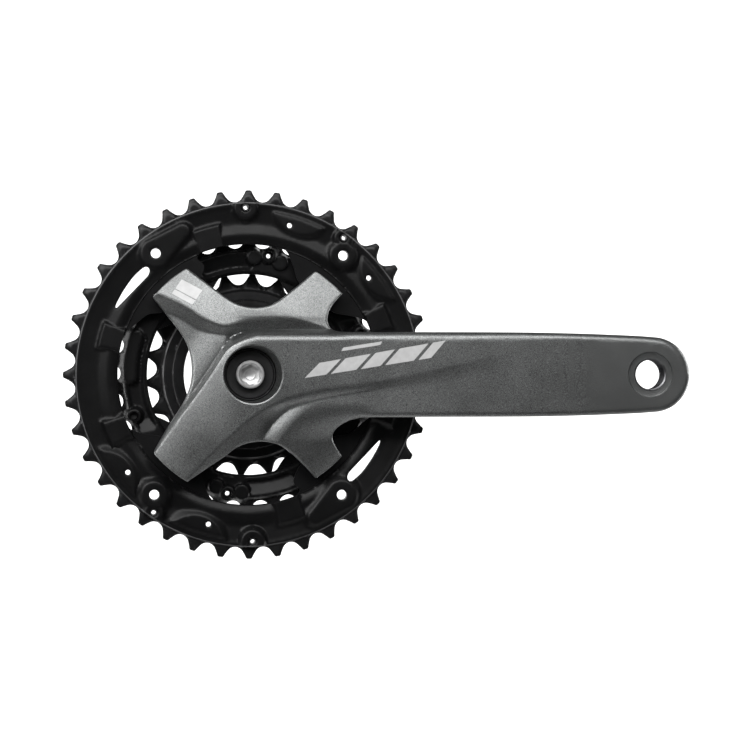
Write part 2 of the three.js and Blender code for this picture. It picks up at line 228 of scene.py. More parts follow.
class Solid:
    """Collects the points (x, y, height) and faces of one piece."""

    def __init__(self):
        self.points = []
        self.faces = []

    def ring(self, outline, height):
        start = len(self.points)
        heights = np.broadcast_to(height, (len(outline),))
        self.points += [(p[0], p[1], h) for p, h in zip(outline, heights)]
        return list(range(start, start + len(outline)))

    def bridge(self, a, b):
        for i in range(len(a)):
            j = (i + 1) % len(a)
            self.faces.append((a[i], a[j], b[j], b[i]))

    def cap(self, ring):
        self.faces.append(tuple(ring))

    def rings(self, outlines):
        """Bridges a chain of rings, each given as (outline, height), and returns them."""
        made = [self.ring(outline, height) for outline, height in outlines]
        for a, b in zip(made, made[1:]):
            self.bridge(a, b)
        return made

    def turned(self, profile, count, centre=(0.0, 0.0), closed=False):
        """A profile of (radius, height) turned about centre, capped or closed on itself."""
        made = self.rings(turned_rings(profile, count, centre))
        if closed:
            self.bridge(made[-1], made[0])
        else:
            self.cap(made[0])
            self.cap(made[-1])

    def sheet(self, loops, height, step, rows=(), lines=(), fine=None):
        """A surface over the area between loops. Returns the ring of point numbers of each loop.

        Its points lie about step apart, in rows beside each loop and along lines. fine is a
        rectangle (x0, y0, x1, y1) and the smaller step inside it.
        """
        loops = [np.asarray(loop, float) for loop in loops]
        lines = [np.asarray(line, float) for line in lines]
        border = np.vstack(loops)
        placed = [np.empty((0, 2))]
        for gap in rows:
            for loop in loops:
                tangent = np.roll(loop, -1, axis=0) - np.roll(loop, 1, axis=0)
                tangent /= np.maximum(np.linalg.norm(tangent, axis=1), 1e-9)[:, None]
                normal = np.stack([-tangent[:, 1], tangent[:, 0]], axis=1)
                placed += [loop + side * gap * normal for side in (1, -1)]
        grid = hex_grid(border.min(0), border.max(0), step)
        if fine:
            (x0, y0, x1, y1), fine_step = fine
            within = (grid[:, 0] > x0) & (grid[:, 0] < x1) & (grid[:, 1] > y0) & (grid[:, 1] < y1)
            grid = np.vstack([grid[~within], hex_grid((x0, y0), (x1, y1), fine_step)])

        def off_border(points, gap):
            points = points[inside(points, loops)]
            return points[np.min([distance(points, loop) for loop in loops], axis=0) > gap]

        first_row, last_row = (rows[0], rows[-1]) if rows else (0.1, 0.0)
        placed = off_border(np.vstack(placed + lines), 0.8 * first_row)
        spacing = 0.45 * step
        grid = off_border(grid, last_row + spacing)
        if lines:
            fixed = np.vstack(lines)
            clear = np.ones(len(grid), bool)
            for start in range(0, len(grid), 1000):
                p = grid[start:start + 1000, None]
                clear[start:start + 1000] = ((p - fixed) ** 2).sum(2).min(1) > spacing**2
            grid = grid[clear]
        plan = np.vstack([border, placed, grid])
        edges = []
        starts = []
        at = 0
        for loop in loops:
            starts.append(at)
            edges += [(at + i, at + (i + 1) % len(loop)) for i in range(len(loop))]
            at += len(loop)
        made = delaunay_2d_cdt([Vector(p) for p in plan], edges, [], 0, 1e-5)
        verts, _, faces, origin, _, _ = made
        verts = np.array([(v.x, v.y) for v in verts])
        faces = np.array(faces)
        middle = verts[faces].mean(1)
        faces = faces[inside(middle, loops)]
        first = len(self.points)
        self.points += [(x, y, h) for (x, y), h in zip(verts, height(verts))]
        self.faces += [tuple(int(i) + first for i in face) for face in faces]
        where = {source: i for i, sources in enumerate(origin) for source in sources}
        return [[first + where[start + i] for i in range(len(loop))]
                for start, loop in zip(starts, loops)]

    def plate(self, outline, holes, front, back, step, rows, lines):
        """A plate with a detailed front and a plain back, joined along its outline and holes."""
        loops = [outline] + [hole[::-1] for hole in holes]
        top = self.sheet(loops, front, step, rows, lines)
        bottom = self.sheet(loops, back, 2.2, (0.3,))
        for a, b in zip(top, bottom):
            self.bridge(a, b)

    def make(self, name, materials, body, replaced=(), faces_of=None, sharp=None):
        """Turns the collected points into a Blender object that rides on a body.

        faces_of gives a face's material number, and edges steeper than sharp degrees stay crisp.
        """
        mesh = bpy.data.meshes.new(name)
        mesh.from_pydata([(x * MM, -h * MM, y * MM) for x, y, h in self.points], [], self.faces)
        work = bmesh.new()
        work.from_mesh(mesh)
        bmesh.ops.remove_doubles(work, verts=work.verts, dist=1e-7)
        bmesh.ops.recalc_face_normals(work, faces=work.faces)
        work.to_mesh(mesh)
        work.free()
        for m in materials:
            mesh.materials.append(m)
        for polygon in mesh.polygons:
            polygon.use_smooth = True
            if faces_of:
                polygon.material_index = faces_of(polygon)
        if sharp:
            mesh.set_sharp_from_angle(angle=math.radians(sharp))
        piece = new_object(name, mesh)
        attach(piece, body)
        if replaced:
            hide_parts(*replaced)


# ---------------- materials


class Look:
    """A node material, with small helpers for its nodes."""

    def __init__(self, name, metallic, specular=0.5, coat=0.0, coat_roughness=0.2):
        self.material = bpy.data.materials.new(name)
        self.material.use_nodes = True
        self.nodes = self.material.node_tree.nodes
        self.links = self.material.node_tree.links
        self.shader = self.nodes["Principled BSDF"]
        for key, value in (("Metallic", metallic), ("Specular IOR Level", specular),
                           ("Coat Weight", coat), ("Coat Roughness", coat_roughness)):
            self.shader.inputs[key].default_value = value
        self.place = self.nodes.new("ShaderNodeTexCoord").outputs["Object"]

    def node(self, kind, **values):
        made = self.nodes.new(kind)
        for key, value in values.items():
            setattr(made, key, value)
        return made

    def noise(self, scale, detail):
        made = self.node("ShaderNodeTexNoise")
        made.inputs["Scale"].default_value = scale
        made.inputs["Detail"].default_value = detail
        self.links.new(self.place, made.inputs["Vector"])
        return made.outputs["Fac"]

    def ramp(self, factor, stops):
        made = self.node("ShaderNodeValToRGB")
        elements = made.color_ramp.elements
        while len(elements) < len(stops):
            elements.new(0.5)
        for element, (at, colour) in zip(elements, stops):
            element.position = at
            element.color = (*colour, 1)
        self.links.new(factor, made.inputs["Fac"])
        return made.outputs["Color"]

    def mottled(self, scale, detail, low, high):
        """A colour that wanders between two others."""
        return self.ramp(self.noise(scale, detail), [(0.3, low), (0.7, high)])

    def span(self, factor, low, high, from_low=0.3, from_high=0.7):
        made = self.node("ShaderNodeMapRange")
        for key, value in (("From Min", from_low), ("From Max", from_high),
                           ("To Min", low), ("To Max", high)):
            made.inputs[key].default_value = value
        self.links.new(factor, made.inputs["Value"])
        return made.outputs["Result"]

    def mix(self, factor, a, b, blend="MIX"):
        made = self.node("ShaderNodeMix", data_type="RGBA", blend_type=blend)
        for socket, value in zip((made.inputs[0], made.inputs[6], made.inputs[7]), (factor, a, b)):
            if isinstance(value, bpy.types.NodeSocket):
                self.links.new(value, socket)
            elif isinstance(value, tuple):
                socket.default_value = (*value, 1)
            else:
                socket.default_value = value
        return made.outputs[2]

    def product(self, a, b):
        made = self.node("ShaderNodeMath", operation="MULTIPLY")
        self.links.new(a, made.inputs[0])
        self.links.new(b, made.inputs[1])
        return made.outputs[0]

    def from_axis(self, low, high):
        """Distance from the spindle's axis, running from 0 to 1 between two radii in millimetres."""
        flat = self.node("ShaderNodeVectorMath", operation="MULTIPLY")
        flat.inputs[1].default_value = (1, 0, 1)
        self.links.new(self.place, flat.inputs[0])
        length = self.node("ShaderNodeVectorMath", operation="LENGTH")
        self.links.new(flat.outputs["Vector"], length.inputs[0])
        return self.span(length.outputs["Value"], 0, 1, low * MM, high * MM)

    def colour(self, socket):
        self.links.new(socket, self.shader.inputs["Base Color"])

    def roughness(self, scale, detail, low, high):
        """Roughness that wanders between two values."""
        made = self.span(self.noise(scale, detail), low, high)
        self.links.new(made, self.shader.inputs["Roughness"])

    def bump(self, height, strength, size):
        """Adds a bump of this size in millimetres, on top of any earlier one."""
        made = self.node("ShaderNodeBump")
        made.inputs["Strength"].default_value = strength
        made.inputs["Distance"].default_value = size * MM
        self.links.new(height, made.inputs["Height"])
        normal = self.shader.inputs["Normal"]
        if normal.is_linked:
            self.links.new(normal.links[0].from_socket, made.inputs["Normal"])
        self.links.new(made.outputs["Normal"], normal)

    def edges(self, low, high):
        """Where the surface is a convex edge, from its pointiness."""
        made = self.node("ShaderNodeNewGeometry")
        return self.span(made.outputs["Pointiness"], 0, 1, low, high)


FLAKE_SCALE = 4200


def metallic_paint():
    """Satin dark grey paint with fine aluminium flake."""
    look = Look("arm_metallic_paint", 0.9, coat=0.12, coat_roughness=0.35)
    body = look.mottled(22, 3, (0.146, 0.150, 0.149), (0.160, 0.164, 0.163))
    flake = look.ramp(look.noise(FLAKE_SCALE, 0), [(0.30, (0.45,) * 3), (0.72, (1.6,) * 3)])
    look.colour(look.mix(1.0, body, flake, "MULTIPLY"))
    look.roughness(60, 4, 0.36, 0.44)
    look.bump(look.noise(FLAKE_SCALE, 0), 0.12, 0.04)
    look.bump(look.noise(700, 1), 0.03, 0.05)
    return look.material


def satin_black():
    """Black composite with a fine moulded grain and a painted highlight: a thin light line along the
    outer rim.
    """
    look = Look("ring_satin_black", 0.0, specular=0.17)
    base = look.mottled(35, 4, (0.0030, 0.0030, 0.0032), (0.0052, 0.0052, 0.0054))
    edged = look.mix(look.edges(0.52, 0.6), base, (0.012, 0.012, 0.0125))
    # painted highlight: a thin pale line at the outer rim's edge, broken up by noise, standing in for
    # light caught by the edge
    line = [(0.40, (0, 0, 0)), (0.46, (1, 1, 1)), (0.56, (1, 1, 1)), (0.62, (0, 0, 0))]
    painted_rim_highlight = look.ramp(look.from_axis(75.0, 77.5), line)
    uneven = look.span(look.noise(45, 3), 0.45, 1.0)
    look.colour(look.mix(look.product(painted_rim_highlight, uneven), edged, (0.12, 0.12, 0.122)))
    look.roughness(90, 4, 0.33, 0.41)
    look.bump(look.noise(1500, 3), 0.18, 0.06)
    look.bump(look.noise(160, 2), 0.05, 0.08)
    return look.material


def black_steel(name, roughness, metallic):
    """Black oxidised steel, a little brighter where it has been handled."""
    look = Look(name, metallic, specular=0.3)
    base = look.mottled(50, 4, (0.009, 0.009, 0.0095), (0.015, 0.015, 0.0155))
    look.colour(look.mix(look.edges(0.52, 0.62), base, (0.05, 0.05, 0.051)))
    look.roughness(120, 4, roughness - 0.06, roughness + 0.08)
    look.bump(look.noise(900, 2), 0.1, 0.05)
    return look.material


def bright_steel():
    """Zinc plated steel with fine turning marks round the axis."""
    look = Look("bolt_bright_steel", 0.62)
    wave = look.node("ShaderNodeTexWave", wave_type="RINGS", rings_direction="Y")
    wave.inputs["Scale"].default_value = 900
    wave.inputs["Distortion"].default_value = 1.2
    look.links.new(look.place, wave.inputs["Vector"])
    look.colour(look.mottled(140, 4, (0.40, 0.40, 0.40), (0.56, 0.56, 0.56)))
    look.roughness(260, 4, 0.3, 0.42)
    look.bump(wave.outputs["Fac"], 0.06, 0.05)
    return look.material


def machined_alloy():
    """Bare machined aluminium, for the pedal eye's thread, the recess's floor and the socket."""
    look = Look("machined_alloy", 1.0)
    look.colour(look.mottled(120, 4, (0.10, 0.10, 0.105), (0.16, 0.16, 0.165)))
    look.roughness(200, 4, 0.3, 0.45)
    look.bump(look.noise(800, 2), 0.1, 0.05)
    return look.material


def printed_mark(name, value):
    """Pale silver print."""
    look = Look(name, 0.35, coat=0.2)
    look.colour(look.mottled(500, 3, (value,) * 3, (value * 1.12,) * 3))
    look.roughness(300, 3, 0.4, 0.52)
    look.bump(look.noise(2600, 1), 0.1, 0.04)
    return look.material


PAINT = metallic_paint()
RING_BLACK = satin_black()
RING_STEEL = black_steel("ring_black_steel", 0.36, 0.5)
WASHER_BLACK = black_steel("washer_black_steel", 0.46, 0.3)
BRIGHT = bright_steel()
MACHINED = machined_alloy()
PRINT = printed_mark("printed_silver", 0.5)
BADGE = printed_mark("printed_badge_silver", 0.36)

# ---------------- crank arm


def arm_outline():
    """The silhouette of arm, hub and spider, counter-clockwise from the upper right arm's end."""
    step = 0.8
    parts = [
        arc(SPIDER_R, 41.2, 57.2, step),
        curve([(28.8, 45.6), (23.3, 41.0), (18.2, 36.9), (13.4, 33.2), (8.6, 30.6), (2.4, 29.6),
               (-3.6, 30.4), (-8.8, 32.8), (-14.2, 36.8), (-20.2, 41.4), (-27.4, 46.8)], step),
        arc(SPIDER_R, 121.0, 141.2, step),
        curve([(-42.2, 33.4), (-38.2, 28.4), (-34.2, 23.4), (-30.4, 18.4), (-27.4, 12.8),
               (-25.8, 6.6), (-25.5, 0.0), (-26.4, -5.6), (-28.8, -11.6), (-32.4, -17.6),
               (-36.8, -24.4), (-42.0, -33.6)], step),
        arc(SPIDER_R, 219.6, 239.6, step),
        curve([(-27.2, -46.7), (-19.4, -41.4), (-11.6, -36.2), (-5.4, -31.8), (0.8, -29.9),
               (7.2, -29.7), (13.6, -31.5), (19.4, -35.8), (24.4, -40.6), (29.0, -45.6)], step),
        arc(SPIDER_R, 302.8, 318.6, step),
        curve([(40.3, -35.5), (37.6, -31.2), (36.5, -27.6), (37.8, -24.2), (41.6, -21.3),
               (46.4, -19.5), (53.0, -18.8), (80.0, -18.65), (110.0, -18.55), (127.0, -18.4),
               (145.0, -18.0), (162.0, -17.4), (171.0, -17.0)], step),
        arc(EYE_R, -87, 87, step, EYE_CENTRE),
        curve([(171.0, 17.0), (162.0, 17.4), (145.0, 18.0), (127.0, 18.4), (110.0, 18.6),
               (80.0, 18.7), (53.0, 18.7), (41.0, 18.8), (37.0, 19.5), (34.8, 21.8),
               (34.1, 25.0), (35.6, 29.4), (38.0, 32.6), (40.6, 35.4)], step),
    ]
    return resample(np.vstack(parts), step, True)


# The lines where the arm's faces meet
TONGUE_RIDGE = [(215, 16.2), (150, 16.1), (83, 16.2), (39.5, 16.2), (8, 16.2), (2.0, 16.0),
                (-4.4, 14.4), (-9.6, 11.2), (-13.2, 6.2), (-17.4, -0.2), (-24.0, -9.6),
                (-32.3, -20.8), (-41.6, -34.0), (-50, -46)]
GROOVE_RIDGE = [(-36, -54), (-28.4, -46.2), (-17.1, -34.6), (-6.9, -24.9), (0.7, -18.6),
                (9.2, -13.1), (17.7, -9.2), (28.0, -6.5), (39.9, -4.7), (52.8, -3.0),
                (65.7, -0.8), (83.7, 3.0), (105, 8), (130, 13)]
BEVEL_CREASE = [(4, -42), (12.0, -30.6), (17.4, -23.4), (22.2, -17.6), (27.4, -13.9),
                (34.1, -10.7), (41.0, -8.4), (50.0, -6.0), (61.7, -3.0), (83.7, 2.6),
                (105, 7.6), (130, 12.6)]
UPPER_CREASE = [(-55, 37.6), (-43.0, 35.6), (-36.0, 33.4), (-28.0, 29.6), (-22.4, 25.8),
                (-16.9, 22.6), (-10.4, 20.8), (-4, 20.5), (4, 21.2), (10, 21.5), (18, 21.6),
                (27, 21.1), (36, 20.6), (50, 20.6)]

OUTLINE = arm_outline()
FACE_LINES = (TONGUE_RIDGE, GROOVE_RIDGE, BEVEL_CREASE, UPPER_CREASE)
RIDGE, GROOVE, CREASE, FACET = [curve(line, 1.0) for line in FACE_LINES]

TONGUE_REGION = np.vstack([RIDGE, GROOVE, [(215, 13)]])
LOWER_REGION = np.vstack([CREASE, [(215, 12), (215, -60), (4, -60)]])
UPPER_REGION = np.vstack([FACET, [(50, 70), (-55, 70)]])

# How far beyond the ridge its wall ends, on top and on the left
RIDGE_FOOT = 3.9
LEFT_FOOT = 2.4

# Heights of the upper facet and of the left side's facet beside the hub
UPPER_HEIGHT = 11.7
SIDE_HEIGHT = 10.5


def arm_sweep(x):
    """How far the arm's outboard face has bowed out at x."""
    return (PEDAL_FACE - HUB_FACE) * between(x, 5, 150)


def ridge_drop(beyond, left, along):
    """How far the wall behind the tongue's ridge has dropped: sharp on the left, round on top."""
    sharp = round_drop(beyond + 0.2, 0.3, 1.9)
    rounded = round_drop(beyond + 1.6, 4.2, 2.4)
    return left * sharp + (1 - left) * (1 - along) * rounded


def arm_front(p):
    """Height of the arm's outboard face over the points p."""
    x, y = p[:, 0], p[:, 1]
    r = np.hypot(x, y)
    sweep = arm_sweep(x)
    ridge_d = distance(p, RIDGE, False)
    groove_d = distance(p, GROOVE, False)
    beyond = np.where(inside(p, [TONGUE_REGION]), -1, 1) * np.minimum(ridge_d, groove_d)
    groove_side = groove_d < ridge_d
    left = between(x, 4, -14)
    along = between(x, 36, 46) * between(np.abs(y), 24, 20)

    # the tongue: the arm's face, running round the hub into the lower left spider arm
    down_left = -0.648 * x - 0.762 * y
    tongue = HUB_FACE + sweep - 2.6 * between(down_left, 24, 64)
    tongue -= left * 2.9 * np.clip(1 - ridge_d / 25, 0, 1) ** 2
    slope = 0.6 + 0.8 * between(x, 2, 22) - 0.35 * between(x, 40, 60)
    radius = 1.2 + 4.6 * between(x, 4, 24) * (1 - between(x, 44, 68))
    fade = 1 - 0.75 * between(x, 36, 70) - 0.25 * between(x, 76, 126)
    groove_wall = round_drop(beyond + 0.15, radius, slope * (0.35 + 0.65 * fade)) * fade
    ridge_wall = ridge_drop(beyond, left, along)
    tongue_out = tongue - np.where(groove_side, groove_wall, ridge_wall)

    # the lower face, from the lower right spider arm along the arm's lower half
    down_right = 0.653 * x - 0.757 * y
    fall = 8.6 * between(down_right, 20, 54) * between(y, -12, -30) * (1 - between(x, 40, 58))
    lower = HUB_FACE + sweep - 3.2 * (1 - between(x, -8, 76)) - fall - 0.5 * (1 - between(x, 84, 134))
    crease_d = distance(p, CREASE, False) * np.where(inside(p, [LOWER_REGION]), -1, 1)
    bevel_slope = 0.45 - 0.39 * between(x, 8, 29)
    lower_out = lower - round_drop(crease_d + 0.1, 0.7, bevel_slope) * (1 - between(x, 50, 70))
    lower_out = np.where(groove_side | (x > 50), lower_out, 0.0)

    # the upper facet, across both upper spider arms
    above = distance(p, FACET, False) * np.where(inside(p, [UPPER_REGION]), 1, -1)
    right = between(x, -14, 0)
    upper = UPPER_HEIGHT + 1.4 * between(x, -24, 0) - 2.1 * between(r, 28, 56)
    upper -= (0.23 - 0.06 * right) * np.maximum(above, 0)
    upper_out = upper - round_drop(1.1 + 3.9 * right - above, 3.0 + 5.0 * right, 0.75)

    # the facet that fills the left side, falling away from the tongue
    away = np.maximum(beyond - 3, 0)
    side = SIDE_HEIGHT - 0.11 * away - 1.3 * between(away, 0, 14) - 0.4 * between(r, 36, 56)
    foot = tongue - ridge_drop(np.full(len(p), RIDGE_FOOT), left, along)
    behind_ridge = np.minimum(foot + 0.3 * (beyond - RIDGE_FOOT), upper - 0.2)
    side = side + (behind_ridge - side) * between(x, -12, -5)
    side = np.where(groove_side, 0.0, side)

    height = higher(upper_out, side, 0.35)
    height = higher(height, higher(tongue_out, lower_out, 0.25), 0.12)

    # rounded edges all round: tight at the spider's ends, wide along the arm's top
    edge = distance(p, OUTLINE)
    spider_edge = fillet(edge, np.where(r > 52.8, 0.7, 0.95))
    top_radius = 4.2 - 1.0 * between(x, 80, 150)
    beam_edge = fillet(edge, np.where(y > 0, top_radius, 2.2))
    beam = np.where(x > 30, along, 0.0)
    return height - (spider_edge * (1 - beam) + beam_edge * beam)


def arm_back(p):
    """Height of the arm's inboard face, with the beam's long channel."""
    x, y = p[:, 0], p[:, 1]
    rise = 4.7 * between(x, 37, 56) + 13.6 * np.sin(np.clip((x - 54) / 100, 0, 1) * np.pi / 2)
    channel = 2.2 * between(x, 62, 76) * between(x, 152, 138) * smooth(0.5 - (np.abs(y) - 9.5) / 4.0)
    return SPIDER_BACK + rise + channel + fillet(distance(p, OUTLINE), np.where(x > 60, 2.4, 0.7))


def beside(line, gap):
    """A line that runs beside another, to its right."""
    along = np.gradient(line, axis=0)
    along /= np.linalg.norm(along, axis=1)[:, None]
    return line + gap * np.stack([along[:, 1], -along[:, 0]], axis=1)


def rounded_square(flat, count):
    """A square with rounded corners as a ring of points, flat to flat."""
    angles = whole_turn(count)
    reach = flat / 2 / np.maximum(np.abs(np.cos(angles)), np.abs(np.sin(angles)))
    return around(np.minimum(reach, flat / 2 * 1.3), angles)


def crank_arm():
    arm = Solid()
    eye = (CRANK_LENGTH, 0.0)
    count = 96
    rim = circle(13.3, count, (1.1, 0.0))
    seat = circle(10.1, count, eye)
    hub_base = circle(20.0, count)
    eye_back = circle(7.4, count, eye)
    rows = (0.12, 0.4, 0.9, 1.6, 2.4)
    lines = [curve(line, 0.7) for line in FACE_LINES]
    lines.append(beside(curve(TONGUE_RIDGE[3:8], 0.6), RIDGE_FOOT))
    lines.append(beside(curve(TONGUE_RIDGE[8:], 0.6), LEFT_FOOT))
    spider_box = (-50, -50, 64, 50)
    front = arm.sheet([OUTLINE, rim[::-1], seat[::-1]], arm_front, 1.1, rows, lines,
                      (spider_box, 0.6))
    back = arm.sheet([OUTLINE, hub_base[::-1], eye_back[::-1]], arm_back, 2.0,
                     (0.15, 0.5, 1.2, 2.4))
    arm.bridge(front[0], back[0])

    # the recess round the fixing bolt, the square taper socket and the hub's outside
    stages = [(circle(12.75, count, (1.0, 0.0)), arm_front(rim) - 0.24),
              (circle(12.1, count, (0.4, 0.0)), HUB_FACE - 3.2)]
    stages += turned_rings([(11.75, HUB_FACE - 4.6), (11.7, RECESS_FLOOR + 0.4),
                            (11.2, RECESS_FLOOR)], count)
    stages += [(rounded_square(flat, count), height) for flat, height in (
        (12.7, RECESS_FLOOR), (12.9, RECESS_FLOOR - 0.5), (14.1, HUB_BACK + 0.4), (14.8, HUB_BACK))]
    stages += turned_rings([(14.9, HUB_BACK), (15.5, HUB_BACK + 0.6), (16.4, -2.0), (17.2, 0.0),
                            (18.4, 1.0)], count)
    hub = arm.rings(stages)
    arm.bridge(front[1][::-1], hub[0])
    arm.bridge(hub[-1], back[1][::-1])

    # the pedal eye's seat and its threaded bore
    bore = [(9.95, PEDAL_FACE - 0.08), (9.75, PEDAL_FACE - 0.42), (9.4, PEDAL_FACE - 0.5),
            (7.2, PEDAL_FACE - 0.5), (6.9, PEDAL_FACE - 0.8)]
    depth = PEDAL_FACE - 1.0
    while depth > EYE_BACK + 2.2:
        bore += [(6.45, depth), (6.95, depth - 0.63)]
        depth -= PEDAL_THREAD_PITCH
    bore.append((6.6, EYE_BACK + 1.6))
    made = arm.rings(turned_rings(bore, count, eye))
    arm.bridge(front[2][::-1], made[0])
    arm.bridge(made[-1], back[2][::-1])

    # the posts that carry the inner ring
    post = [(9.5, 2.5), (8.6, 1.2), (7.2, 0.2), (6.5, -1.5), (6.3, -6), (6.2, -11.6), (5.8, -12.0),
            (4.3, -12.0), (4.3, -4.0)]
    for angle in BOLT_ANGLES:
        arm.turned(post, 32, polar(INNER_BOLT_R, angle))

    def material_of(polygon):
        """Bare metal inside the eye's bore and on the recess's floor, paint elsewhere."""
        c = polygon.center
        in_bore = math.hypot(c.x - CRANK_LENGTH * MM, c.z) < 7.3 * MM
        in_recess = math.hypot(c.x, c.z) < 11.5 * MM and -c.y < (RECESS_FLOOR + 0.2) * MM
        return int(in_bore or in_recess)

    arm.make("crank_arm_body", [PAINT, MACHINED], "crank", ["crank_arm"],
             material_of, 25)


# ---------------- chainrings


# A tooth's tip, as the distance from its middle and the fall from its top
TOOTH_TIP = [(-1.85, 1.4), (-1.5, 0.6), (-1.15, 0.15), (-0.7, 0.0), (0.7, 0.0), (1.15, 0.15),
             (1.5, 0.6), (1.85, 1.4)]


def toothed_outline(ring, seats=9):
    """A chainring's toothed outline, with rounded tooth tips."""
    pitch_r = CHAIN_PITCH / 2 / math.sin(math.pi / ring["teeth"])
    points = []
    for tooth in range(ring["teeth"]):
        middle = math.radians(ring["first"]) + 2 * math.pi * tooth / ring["teeth"]
        for offset, fall in TOOTH_TIP:
            angle = middle + offset / ring["tip_r"]
            radius = ring["tip_r"] - fall
            points.append((radius * math.cos(angle), radius * math.sin(angle)))
        seat = middle + math.pi / ring["teeth"]
        for i in range(seats):
            turn = math.radians(60) * (1 - 2 * i / (seats - 1))
            inward = seat + math.pi + turn
            points.append((pitch_r * math.cos(seat) + ROLLER_SEAT_R * math.cos(inward),
                           pitch_r * math.sin(seat) + ROLLER_SEAT_R * math.sin(inward)))
    return np.array(points)


def tooth_chamfer(p, outline, ring):
    """How far a tooth's face falls towards its tip and its flanks."""
    r, angle = radius_and_angle(p)
    step = 360 / ring["teeth"]
    off = (angle - ring["first"] + step / 2) % step - step / 2
    across = np.abs(np.radians(off) * r)
    tip = 0.45 * np.maximum(r - (ring["tip_r"] - 2.6 - 0.28 * across**2), 0)
    flank = 0.5 * np.clip(1 - distance(p, outline) / 0.9, 0, 1) * smooth(r - ring["root_r"])
    return np.minimum(np.maximum(tip, flank), 0.86)


def ring_back(outline, ring):
    """The height of a chainring's plain back, as a function of the points."""
    return lambda p: ring["mid"] - TOOTH_HALF + tooth_chamfer(p, outline, ring)


def bolt_circles(radius, size, count):
    """Four circles about the bolts that stand at this radius."""
    return [circle(size, count, polar(radius, angle)) for angle in BOLT_ANGLES]


def bar(p, a, b, ra, rb):
    """Signed distance to a bar with round ends of radius ra at a and rb at b."""
    a, b = np.array(a), np.array(b)
    ab = b - a
    t = np.clip(((p - a) @ ab) / (ab @ ab), 0, 1)
    gap = p - a - t[:, None] * ab
    return np.hypot(gap[:, 0], gap[:, 1]) - (ra + (rb - ra) * t)


def disc(p, centre, radius):
    """Signed distance to a disc."""
    return np.hypot(p[:, 0] - centre[0], p[:, 1] - centre[1]) - radius


def arc_bar(p, radius, start, end, half):
    """Signed distance to a bar bent along an arc about the axis."""
    angle = radius_and_angle(p)[1] % 360
    middle = (start + end) / 2
    off = (angle - middle + 180) % 360 - 180
    held = np.radians(middle + np.clip(off, -(end - start) / 2, (end - start) / 2))
    return np.hypot(p[:, 0] - radius * np.cos(held), p[:, 1] - radius * np.sin(held)) - half


def sector(p, inner, outer, start, end):
    """Signed distance, nearly, to part of an annulus."""
    r, angle = radius_and_angle(p)
    off = np.abs((angle % 360 - (start + end) / 2 + 180) % 360 - 180) - (end - start) / 2
    across = np.radians(off) * r
    return np.maximum(np.maximum(inner - r, r - outer), across)


# Places on the outer ring, each repeated after half a turn: radius and angle in degrees, with a
# pin boss's size as a third value
TURNS = (0, 180)
GUARD_BOSSES = [(67.7, 51.7)]
TEARDROPS = [((67.7, 127.6), (70.0, 114.9))]
SMALL_HOLES = [(68.8, 38.9), (68.8, 74.8)]
PIN_BOSSES = [(74.2, 55.3, 4.0), (74.2, 91.2, 4.9)]
GUARD_HOLE_R = 2.2
SMALL_HOLE_R = 1.15
# Half moons by their angle: each is a disc about a point further out, cut off at HALF_MOON_R
HALF_MOONS = [36.6, 72.0]
HALF_MOON_R = 73.0
HALF_MOON_CENTRE_R = HALF_MOON_R + 6.6
# Where each raised block starts and ends, and how far each bolt tab's flanks are turned
BLOCKS = [(18.5, 27.5), (101.5, 111.5), (160.5, 169.5)]
OUTER_TAB_LEANS = (0, 5.5, 0, 5.5)
# Outside this radius the ring is a bare toothed plate
PLATE_R = 76.75
# The outer ring's section: radii and the heights there
RIM_R = [40.0, 57.5, 57.8, 58.4, 59.4, 60.6, 61.8, 62.6, 66.8, 68.0, 74.0, 75.5, 76.1, 76.6]
RIM_Z = [1.0, 1.0, 1.5, 1.95, 2.4, 2.85, 3.12, 3.1, 2.1, 2.1, 2.8, 3.15, 3.1, 2.75]
# The outline of the long window
SLOT = [(65.9, 133.6), (66.6, 135.6), (66.9, 140), (66.7, 146), (66.4, 151.6), (65.9, 153.3),
        (65.3, 152.8), (63.4, 145.5), (62.6, 138.6), (62.7, 135.3), (64.1, 133.4)]


